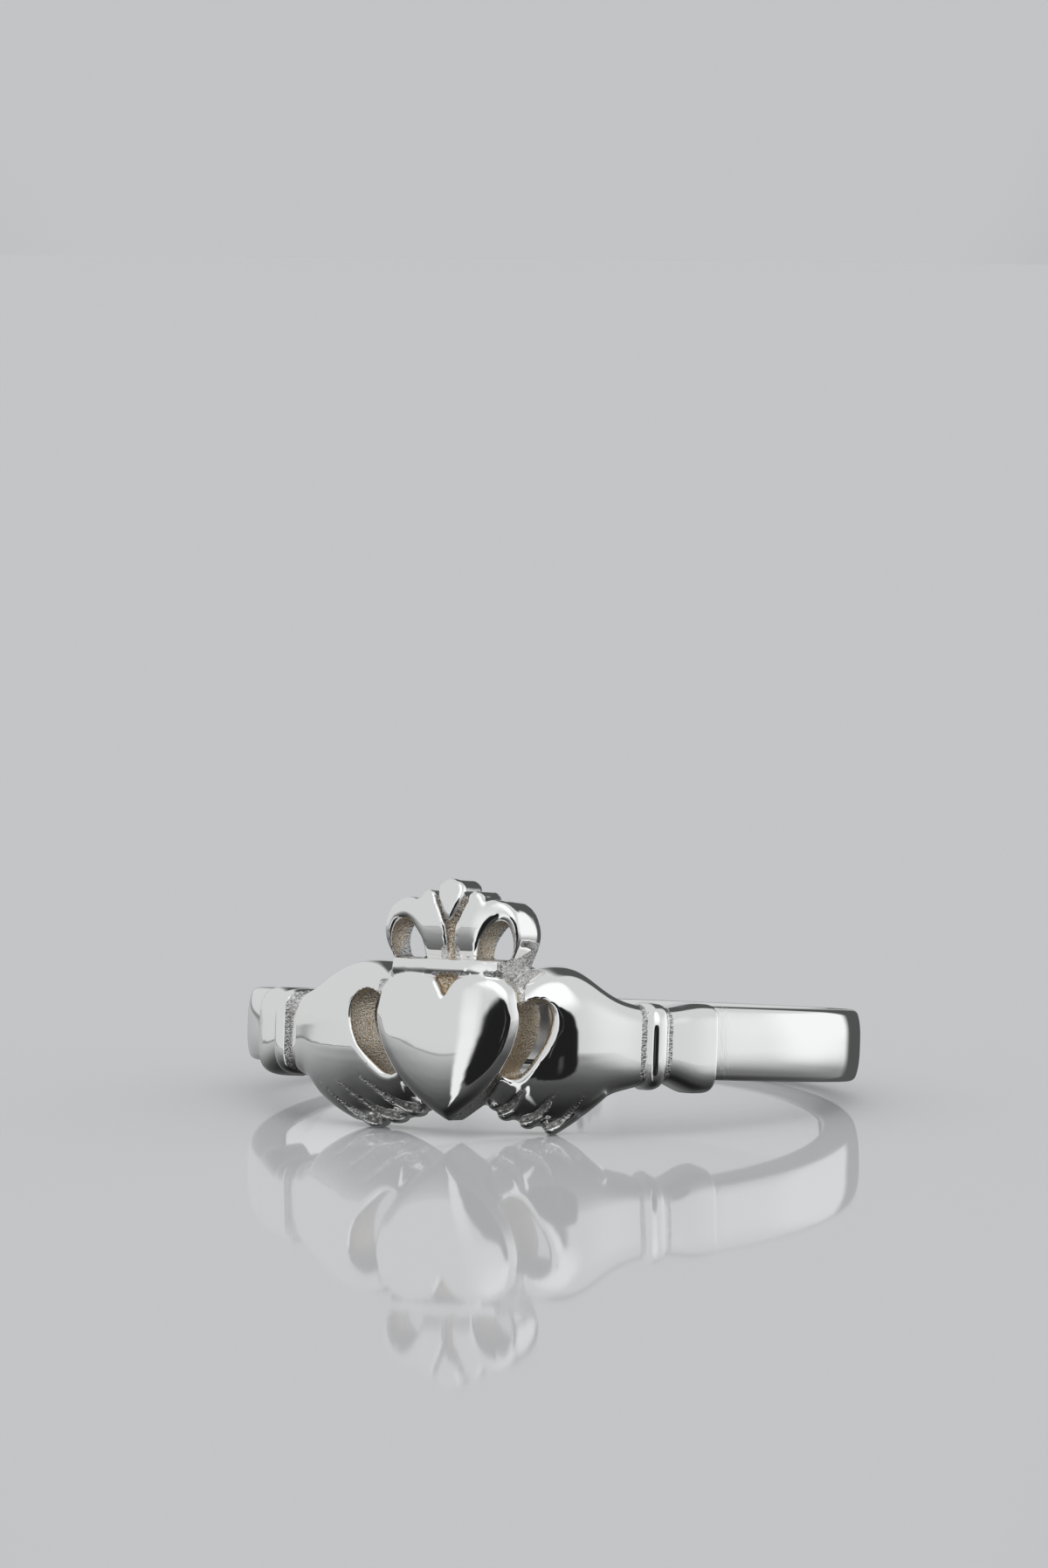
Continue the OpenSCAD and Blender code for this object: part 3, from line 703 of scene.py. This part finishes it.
def arch(side):
    """Side of the crown, an open arch with a small lobe."""
    points = crown_place(ARCH_SHARES)
    outline = np.vstack([flowing(points, 170), flowing(points[[-1, 0]], 24)[1:-1]])
    solid = leaf("arch", outline, crown_place([(0.548, 0.457)])[0], CROWN_OUT,
                 CROWN_WIDE / CROWN_FRONT, mix(0.05, 0.16, ease((outline[:, 0] - 0.4) / 0.7)))
    hole = crown_place(HOLE_SHARES)
    hole = np.vstack([flowing(hole, 110), flowing(hole[[-1, 0]], 24)[1:-1]])
    cut(solid, flared("hole", hole[:, :2], hole[:, 2], crown_at))
    return solid if side > 0 else flipped(solid)


def middle_leaf():
    points = crown_place(LEAF_SHARES)
    outline = flowing(np.vstack([points, points[:1]]), 97)[:-1]
    return leaf("leaf", outline, crown_place([(0, 0.807)])[0], CROWN_OUT + LEAF_PROUD, 1,
                np.full(len(outline), 0.12))


def bar():
    """Bar of the crown, a curved strip with a bevel along its lower edge."""
    section = [(CORE, 0), (BAR_OUT - 0.12, 0), (BAR_OUT - 0.09, 0.03), (BAR_OUT - 0.02, 0.24),
               (BAR_OUT, 0.34), (BAR_OUT - 0.01, 0.9), (BAR_OUT - 0.03, 0.96),
               (BAR_OUT - 0.08, 1), (CORE, 1)]
    loops = []
    for s in np.linspace(-1, 1, 41):
        loops.append([on_ring(s * (BAR_WIDE / 2 + 0.03 - 0.06 * v), r, BAR_LOW + BAR_HIGH * v)
                      for r, v in section])
    return skin("bar", loops)


def slab(name, half, low, top, out, start=CORE):
    """Curved filling between two heights, from one radius out to another."""
    loops = []
    for r in np.linspace(start, out, 6):
        xs = np.concatenate([np.linspace(-half, half, 9), np.linspace(half, -half, 9)])
        zs = np.concatenate([np.full(9, low), np.full(9, top)])
        loops.append(on_ring(xs, r, zs))
    return skin(name, loops, HOLLOW)


def head():
    """Hands, heart and crown in one solid, with the metal behind them."""
    bar_middle, rear = BAR_LOW + BAR_HIGH / 2, FINGER_HOLE + BACK_EDGE
    backing = [slab("backing", 0.31 * HEART_WIDE / 2, NOTCH_TOP - 0.28, bar_middle, HEART_OUT - 0.15),
               slab("strip", 0.2 * CROWN_FRONT / 2, bar_middle, mix(LOBE_TOP, CROWN_TOP, 0.79),
                    CROWN_OUT - 0.3, rear + 0.05),
               slab("rear", 2.2, NOTCH_TOP + 0.12, bar_middle, rear + 0.1)]
    right, left, rail = hand(1), hand(-1), bar()
    # the wheel did not reach the joints of hands and heart, the foot of the crown, the
    # strip in its middle, its rear, nor the bar's right end
    left_as_cast(right, box(2.3, 2.42, 0.9, 1.8))
    left_as_cast(left, box(-2.5, -2.2, 1.1, 1.7))
    left_as_cast(rail, box(BAR_WIDE / 2 - 0.2, 3, 1, 3), box(-0.5, 0.7, 1, BAR_LOW + 0.1),
                 box(1.2, 3, 1, BAR_LOW + 0.22))
    arches = [arch(1), arch(-1)]
    for solid in arches:
        left_as_cast(solid, box(1.6, 3, 1.5, 2.45, CROWN_OUT - 0.4, 0.45),
                     box(-3, -1.6, 1.5, 2.45, CROWN_OUT - 0.4, 0.45),
                     box(-3, 3, 1.5, BAR_TOP + 0.08), box(-3, 3, 2.8, 6, rear + 0.3),
                     box(-0.34, 0.34, 2, 3.5, CROWN_OUT - 0.1),
                     box(-0.6, 0.6, 3.2, 4.4, CROWN_OUT - 0.06))
    return fused(right, left, heart(), *arches, middle_leaf(), rail, *backing)


# Cuffs: how far the neck stands out of the band and hangs under its edge, the share of the
# collar's flare that shows in front and at the top, and how square the outline is
CUFF_RISE, CUFF_DROP = 0.17, 0.09
COLLAR_FRONT, COLLAR_TOP = 0.18, 0.5
CUFF_ROUND = 4.4


def cuff_size(angle):
    """How far the bead and the collar stand out of the cuff at an angle."""
    s = (angle - BEAD_ANGLE) / (BEAD_LONG / 2)
    bead = BEAD_PROUD * math.sqrt(max(0, 1 - s * s))
    s = min(max((angle - BEAD_END) / (COLLAR_ANGLE - BEAD_END), 0), 1)
    # the collar flares, turns over at four fifths of its length and falls off a little
    return bead, COLLAR_PROUD * ((1 - math.cos(math.radians(225 * s))) / 2 if s < 0.8
                                 else 1 - 1.6 * (s - 0.8) ** 2)


def cuff_outline(angle, side, inset=0.0):
    """Across the cuff; the collar flares more at its top and bottom than in front."""
    bead, collar = cuff_size(angle)
    size = bead + collar
    low = -BAND_HALF - CUFF_DROP - size + inset
    top = BAND_HALF - CUFF_DROP + size * COLLAR_TOP - inset
    return across(along(angle, side), BAND_OUT + CUFF_RISE + bead + collar * COLLAR_FRONT - inset,
                  low, top, middle_height(low, top), CUFF_ROUND, CUFF_ROUND)


def cuff(side):
    """Bead and collar, whose last rows round off into a step to the band."""
    # angle, how far the outline draws in there, and the finish of the strip before it
    rows = [(WRIST - 0.6, 0.03, CAST), (BEAD_START - 0.25, 0.03, CAST), (BEAD_START - 0.08, 0.02, CAST)]
    rows += [(BEAD_ANGLE - BEAD_LONG / 2 * math.cos(math.pi * i / 24), 0, POLISHED) for i in range(25)]
    rows += [(mix(BEAD_END, COLLAR_ANGLE, i / 30), 0, CAST if 1 < i < 4 else POLISHED)
             for i in range(1, 31)]
    rows += [(COLLAR_ANGLE + 0.14, 0.015, POLISHED), (COLLAR_ANGLE + 0.26, 0.05, POLISHED),
             (COLLAR_ANGLE + 0.33, 0.1, POLISHED)]
    solid = skin("cuff", [cuff_outline(a, side, inset) for a, inset, _ in rows],
                 finish_rows=[f for _, _, f in rows[1:]])
    # the crease before the bead was never polished, and is wider on the left
    before, after = (0.7, 0.1) if side > 0 else (0.8, 0.4)
    left_as_cast(solid, stretch(along(BEAD_START - before, side), along(BEAD_START + after, side)))
    return solid if side > 0 else flipped(solid)


def finger_hole():
    """Cutter for the finger hole, longer than the ring is wide."""
    a = np.arange(360.0)
    return skin("hole", [polar(a, FINGER_HOLE, z) for z in (-5, 6.5)])


# Soft cast edges

def neighbours(mesh):
    edges = np.empty(len(mesh.edges) * 2, np.int32)
    mesh.edges.foreach_get("vertices", edges)
    return edges.reshape(-1, 2)


def averaged(values, edges):
    """Mean of each point's neighbours."""
    n = len(values)
    count = np.bincount(edges.ravel(), minlength=n).astype(float)
    total = np.empty_like(values)
    for k in range(values.shape[1]):
        total[:, k] = (np.bincount(edges[:, 0], values[edges[:, 1], k], n)
                       + np.bincount(edges[:, 1], values[edges[:, 0], k], n))
    return total / np.maximum(count, 1)[:, None]


def softened(solid, grid=0.062, rounds=8):
    """Rebuilds a solid as one even skin, rounds its edges, and keeps where it is cast."""
    before = BVHTree.FromPolygons([v.co.copy() for v in solid.data.vertices],
                                  [tuple(p.vertices) for p in solid.data.polygons])
    finish = np.empty(len(solid.data.polygons), np.int32)
    solid.data.polygons.foreach_get("material_index", finish)
    step = solid.modifiers.new("even", "REMESH")
    step.mode, step.voxel_size, step.adaptivity = "VOXEL", grid, 0
    settled(solid)
    mesh = solid.data
    co, edges = corners(mesh), neighbours(mesh)
    # each pull towards the neighbours is followed by a push away, so nothing shrinks
    for _ in range(rounds):
        for pull in (0.5, -0.52):
            co = co + pull * (averaged(co, edges) - co)
    co = co + 0.5 * (averaged(co, edges) - co)
    mesh.vertices.foreach_set("co", co.ravel())
    mesh.update()
    # each point takes the finish of the face it came from, with a blurred border
    nearest = finish[[before.find_nearest(p)[2] for p in co]]
    for name, here in (("cast", nearest != POLISHED), ("hollow", nearest == HOLLOW)):
        here = here.astype(float)[:, None]
        for _ in range(3):
            here = here * 0.4 + averaged(here, edges) * 0.6
        mark = mesh.attributes.new(name, "FLOAT", "POINT")
        mark.data.foreach_set("value", here.ravel())
    return solid


# Band, swept round the finger hole

def node_tree(name, *inputs):
    """Geometry Nodes tree with an outline coming in and a solid going out."""
    tree = bpy.data.node_groups.new(name, "GeometryNodeTree")
    tree.interface.new_socket("Outline", in_out="INPUT", socket_type="NodeSocketGeometry")
    for label, value in inputs:
        socket = tree.interface.new_socket(label, in_out="INPUT", socket_type="NodeSocketFloat")
        socket.default_value = value
    tree.interface.new_socket("Solid", in_out="OUTPUT", socket_type="NodeSocketGeometry")
    return tree


def band_outline():
    """Outline across the band, with a foot that the finger hole cuts away."""
    def corner(x, z, r, start, end, steps):
        return [(x + r * math.cos(a), z + r * math.sin(a))
                for a in np.radians(np.linspace(start, end, steps + 1))]
    # the edge starts at the slope, BAND_SLOPE, that the crowned face reaches there
    slope = math.radians(BAND_SLOPE)
    flat = BAND_HALF - BAND_EDGE * (1 - math.sin(slope))
    heights = np.linspace(0.04, 0.98, 12) * flat
    top = ([(BAND_OUT - BAND_CROWN * (z / flat) ** 3, z) for z in heights]
           + corner(BAND_OUT - BAND_CROWN - BAND_EDGE * math.cos(slope),
                    flat - BAND_EDGE * math.sin(slope), BAND_EDGE, BAND_SLOPE, 90, 12)
           + corner(FINGER_HOLE + COMFORT_EDGE, BAND_HALF - COMFORT_EDGE, COMFORT_EDGE, 90, 180, 6)
           + [(CORE, BAND_HALF - COMFORT_EDGE)])
    return top + [(x, -z) for x, z in top[::-1]]


def band():
    """Plain part of the ring, from one collar round to the other."""
    tree = node_tree("band_round_the_finger", ("Middle radius", 1.0), ("Start angle", 0.0),
                     ("Sweep angle", 4.0))
    come = node(tree, "NodeGroupInput")
    path = node(tree, "GeometryNodeCurveArc", {
        "Resolution": 301, "Radius": come.outputs["Middle radius"],
        "Start Angle": come.outputs["Start angle"], "Sweep Angle": come.outputs["Sweep angle"]})
    outline = node(tree, "GeometryNodeMeshToCurve", {"Mesh": come.outputs["Outline"]})
    swept = node(tree, "GeometryNodeCurveToMesh", {
        "Curve": path.outputs["Curve"], "Profile Curve": outline.outputs["Curve"], "Fill Caps": True})
    real = node(tree, "GeometryNodeRealizeInstances", {"Geometry": swept.outputs["Mesh"]})
    coated = node(tree, "GeometryNodeSetMaterial", {
        "Geometry": real.outputs["Geometry"], "Material": bpy.data.materials["polished_cast_silver"]})
    node(tree, "NodeGroupOutput", {"Solid": coated.outputs["Geometry"]})
    outline = band_outline()
    mesh = bpy.data.meshes.new("band")
    n = len(outline)
    mesh.from_pydata([(x - FINGER_HOLE, z, 0) for x, z in outline],
                     [(i, (i + 1) % n) for i in range(n)], [])
    obj = place("band", mesh)
    step = obj.modifiers.new("sweep", "NODES")
    step.node_group = tree
    # its ends are hidden in the collars
    start = COLLAR_ANGLE - 1.2
    sizes = {"Middle radius": FINGER_HOLE,
             "Start angle": math.radians(start - CUFF_OFFSET / 2 - 90),
             "Sweep angle": math.radians(360 - 2 * start)}
    for item in tree.interface.items_tree:
        if item.name in sizes:
            step[item.identifier] = sizes[item.name]
    settled(obj)
    if signed_volume(obj.data) < 0:
        obj.data.flip_normals()
    return obj


# File marks: how far past the collar their middle lies and how fast they fade, in degrees
FILED_PAST, FILED_FADE = 1.4, 1.6


def ring():
    """The whole ring in one skin, laid down as it rests."""
    whole = softened(fused(head(), cuff(1), cuff(-1)))
    fused(whole, band())
    cut(whole, finger_hole())
    mesh = whole.data
    radius = np.hypot(*corners(mesh)[:, :2].T)
    # faces of the finger hole, and the way from each corner to its axis
    corner_of = np.empty(len(mesh.loops), np.int32)
    mesh.loops.foreach_get("vertex_index", corner_of)
    inside = np.repeat(np.array([all(abs(radius[v] - FINGER_HOLE) < 0.003 for v in p.vertices)
                                 for p in mesh.polygons]), [p.loop_total for p in mesh.polygons])
    axis_way = corners(mesh)[corner_of] * (-1, -1, 0)
    past = round_ring(*corners(mesh)[:, :2].T) - COLLAR_ANGLE - FILED_PAST
    filed = np.where(radius > FINGER_HOLE + 0.1, ease(1.4 - np.abs(past) / FILED_FADE), 0)
    mark = mesh.attributes.new("filed", "FLOAT", "POINT")
    mark.data.foreach_set("value", filed)
    mesh.transform(TO_FLOOR)
    # it stands on the floor, not a hair's breadth in it
    mesh.vertices.foreach_set("co", np.clip(corners(mesh), *cad_box).ravel())
    mesh.materials.clear()
    mesh.materials.append(bpy.data.materials["polished_cast_silver"])
    mesh.polygons.foreach_set("material_index", np.zeros(len(mesh.polygons), np.int32))
    mesh.polygons.foreach_set("use_smooth", np.ones(len(mesh.polygons), bool))
    mesh.set_sharp_from_angle(angle=math.radians(50))
    # the finger hole is a true cylinder, whatever its facets
    normals = np.empty(len(mesh.loops) * 3, np.float32)
    mesh.corner_normals.foreach_get("vector", normals)
    normals = normals.reshape(-1, 3)
    turned = axis_way @ np.array(TO_FLOOR.to_3x3()).T
    normals[inside] = (turned / np.linalg.norm(turned, axis=1)[:, None])[inside]
    mesh.normals_split_custom_set(normals.tolist())
    whole.name = mesh.name = "silver_ring"
    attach(whole, "root")
    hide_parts("ring")
    return whole


def floor():
    """Pale lacquered table top: matt off-white under a shine, which mirrors the ring faintly."""
    made = bpy.data.materials.new("glossy_pale_table")
    made.use_nodes = True
    tree = made.node_tree
    tree.nodes.clear()
    matt = node(tree, "ShaderNodeBsdfDiffuse", {"Color": colour("#EDEDEE")})
    shine = node(tree, "ShaderNodeBsdfAnisotropic", {"Color": colour("#FFFFFF"), "Roughness": 0.04})
    both = node(tree, "ShaderNodeMixShader", {0: 0.3, 1: matt.outputs[0], 2: shine.outputs[0]})
    node(tree, "ShaderNodeOutputMaterial", {"Surface": both.outputs[0]})
    mesh = bpy.data.meshes.new("table")
    half = 3.0
    mesh.from_pydata([(-half, -half, 0), (half, -half, 0), (half, half, 0), (-half, half, 0)],
                     [], [(0, 1, 2, 3)])
    mesh.materials.append(made)
    table = place("table", mesh)
    # the silver mirrors the dark side of the studio instead of the pale table
    table.visible_glossy = False


# Camera and light

# In pixels of the photograph: its frame, the length of the lens, and where the spot shows
# that the camera is turned and raised about
FRAME_WIDE, FRAME_HIGH = 1200, 1796
LENS_PIXELS = 8844.0
SPOT_ACROSS, SPOT_DOWN = 636.18, 1181.91
# In millimetres: height of that spot, how far off the camera is, and the ring's lift for
# which both were fitted
SPOT_HEIGHT, DISTANCE, FITTED_LIFT = 2.2, 255.0, 2.137
CAMERA_RISE, CAMERA_TURN, CAMERA_ROLL = 6.2262, 17.75, 0.3554
SENSOR = 36


def from_head_side(vector):
    """Turns a direction given as seen from the camera's side into the ring's frame."""
    turn = math.radians(CAMERA_TURN)
    x, y, z = vector
    return Vector((x * math.cos(turn) - y * math.sin(turn),
                   x * math.sin(turn) + y * math.cos(turn), z))


def camera():
    rise, roll = math.radians(CAMERA_RISE), math.radians(CAMERA_ROLL)
    pitch = rise - math.atan((SPOT_DOWN - FRAME_HIGH / 2) / LENS_PIXELS)
    yaw = math.atan((SPOT_ACROSS - FRAME_WIDE / 2) / LENS_PIXELS)
    ahead = Vector((-math.sin(yaw) * math.cos(pitch), math.cos(yaw) * math.cos(pitch),
                    -math.sin(pitch)))
    right = Vector((math.cos(yaw), math.sin(yaw), 0))
    up = right.cross(ahead)
    right, up = (right * math.cos(roll) + up * math.sin(roll),
                 up * math.cos(roll) - right * math.sin(roll))
    spot = from_head_side((0, -DISTANCE * math.cos(rise), SPOT_HEIGHT + DISTANCE * math.sin(rise)))
    spot += Vector((0, MIDDLE, LIFT - FITTED_LIFT))
    turned = Matrix([from_head_side(v) for v in (right, up, -ahead)]).transposed().to_4x4()
    data = bpy.data.cameras.new("camera")
    data.sensor_width, data.lens = SENSOR, LENS_PIXELS * SENSOR / FRAME_HIGH
    data.clip_start, data.clip_end = 0.01, 5
    obj = bpy.data.objects.new("camera", data)
    obj.matrix_world = Matrix.Translation(spot * 0.001) @ turned
    bpy.context.scene.collection.objects.link(obj)
    bpy.context.scene.camera = obj


# How square the corners of a patch of the studio are
PATCH_SQUARE = 3.5


def zone(tree, azimuth, height, middle, size, soft):
    """1 inside a patch of the studio with rounded corners, 0 outside, with a soft edge."""
    def share(value, centre, half):
        away = node(tree, "ShaderNodeMath", {0: value, 1: centre}, operation="SUBTRACT")
        near = node(tree, "ShaderNodeMath", {0: away.outputs[0], 1: 180.0, 2: -180.0},
                    operation="WRAP")
        part = node(tree, "ShaderNodeMath", {0: near.outputs[0], 1: half}, operation="DIVIDE")
        far = node(tree, "ShaderNodeMath", {0: part.outputs[0]}, operation="ABSOLUTE")
        return node(tree, "ShaderNodeMath", {0: far.outputs[0], 1: PATCH_SQUARE},
                    operation="POWER").outputs[0]
    both = node(tree, "ShaderNodeMath", {
        0: share(azimuth, middle[0], size[0]), 1: share(height, middle[1], size[1])}, operation="ADD")
    reach = node(tree, "ShaderNodeMath", {0: both.outputs[0], 1: 1 / PATCH_SQUARE}, operation="POWER")
    edge = soft / min(size)
    return node(tree, "ShaderNodeMapRange", {
        "Value": reach.outputs[0], "From Min": 1 - edge, "From Max": 1 + edge,
        "To Min": 1.0, "To Max": 0.0}, interpolation_type="SMOOTHSTEP").outputs[0]


# Brightness of the tent by height in degrees; under the horizon lies the dark table
TENT = [(-90, 0.01), (-70, 0.02), (-60, 0.035), (-50, 0.055), (-40, 0.07), (-30, 0.11), (-20, 0.19),
        (-12, 0.3), (-7, 0.42), (-4.4, 0.5), (-3.7, 0.64), (0, 0.66), (90, 0.66)]
# Patches of it, in degrees: azimuth (from the ring's front towards its right) and
# height of the middle, half sizes, softness; and brightness
STUDIO = [
    # thin dark line under the horizon at the left
    (-95, -4, 92, 0.35, 0.3, 0.2),
    # lamp high above the front, and two at the right
    (27, 46, 32, 30, 8, 1.05), (105, 8, 32, 17, 14, 0.85), (142, 7, 31, 16, 5, 0.97),
    # dark room behind the ring, and in it the pale backdrop that the camera looks at
    (182, 10, 20, 60, 4, 0.085), (198, 5, 6, 9, 2, 0.56),
    # dark gap in front with two paler marks in it, and a bright strip at its left
    (25, -9.5, 26, 24, 1.2, 0.014), (16, 1, 2, 6, 1.5, 0.09), (35, -17, 2.5, 7, 2, 0.06),
    (-6, -22, 4.5, 36, 1.6, 0.88)]


def studio():
    """Soft tent with a bright lamp above, others at the right, and a dark gap in front."""
    world = bpy.data.worlds.new("studio")
    bpy.context.scene.world = world
    world.use_nodes = True
    tree = world.node_tree
    tree.nodes.clear()
    seen = node(tree, "ShaderNodeTexCoord").outputs["Generated"]
    way = node(tree, "ShaderNodeSeparateXYZ", {0: seen})
    back = node(tree, "ShaderNodeMath", {0: way.outputs["Y"], 1: -1.0}, operation="MULTIPLY")
    azimuth = node(tree, "ShaderNodeMath", {0: way.outputs["X"], 1: back.outputs[0]},
                   operation="ARCTAN2")
    height = node(tree, "ShaderNodeMath", {0: way.outputs["Z"]}, operation="ARCSINE")
    azimuth, height = (node(tree, "ShaderNodeMath", {0: v.outputs[0]}, operation="DEGREES").outputs[0]
                       for v in (azimuth, height))
    share = node(tree, "ShaderNodeMapRange", {"Value": height, "From Min": -90, "From Max": 90})
    ramp = node(tree, "ShaderNodeValToRGB", {"Fac": share.outputs[0]})
    for k, (angle, level) in enumerate(TENT):
        spots = ramp.color_ramp.elements
        # a new ramp already has its first two
        spot = spots[k] if k < 2 else spots.new((angle + 90) / 180)
        spot.position, spot.color = (angle + 90) / 180, (level, level, level, 1)
    light = ramp.outputs["Color"]
    for turn, rise, wide, high, soft, level in STUDIO:
        patch = zone(tree, azimuth, height, (turn, rise), (wide, high), soft)
        light = node(tree, "ShaderNodeMix", {0: patch, 2: light, 3: level}).outputs[0]
    shine = node(tree, "ShaderNodeBackground", {"Color": colour("#FBFDFF"), "Strength": light})
    node(tree, "ShaderNodeOutputWorld", {"Surface": shine.outputs[0]})
    bpy.context.scene.view_settings.view_transform = "Standard"


ring()
floor()
camera()
studio()
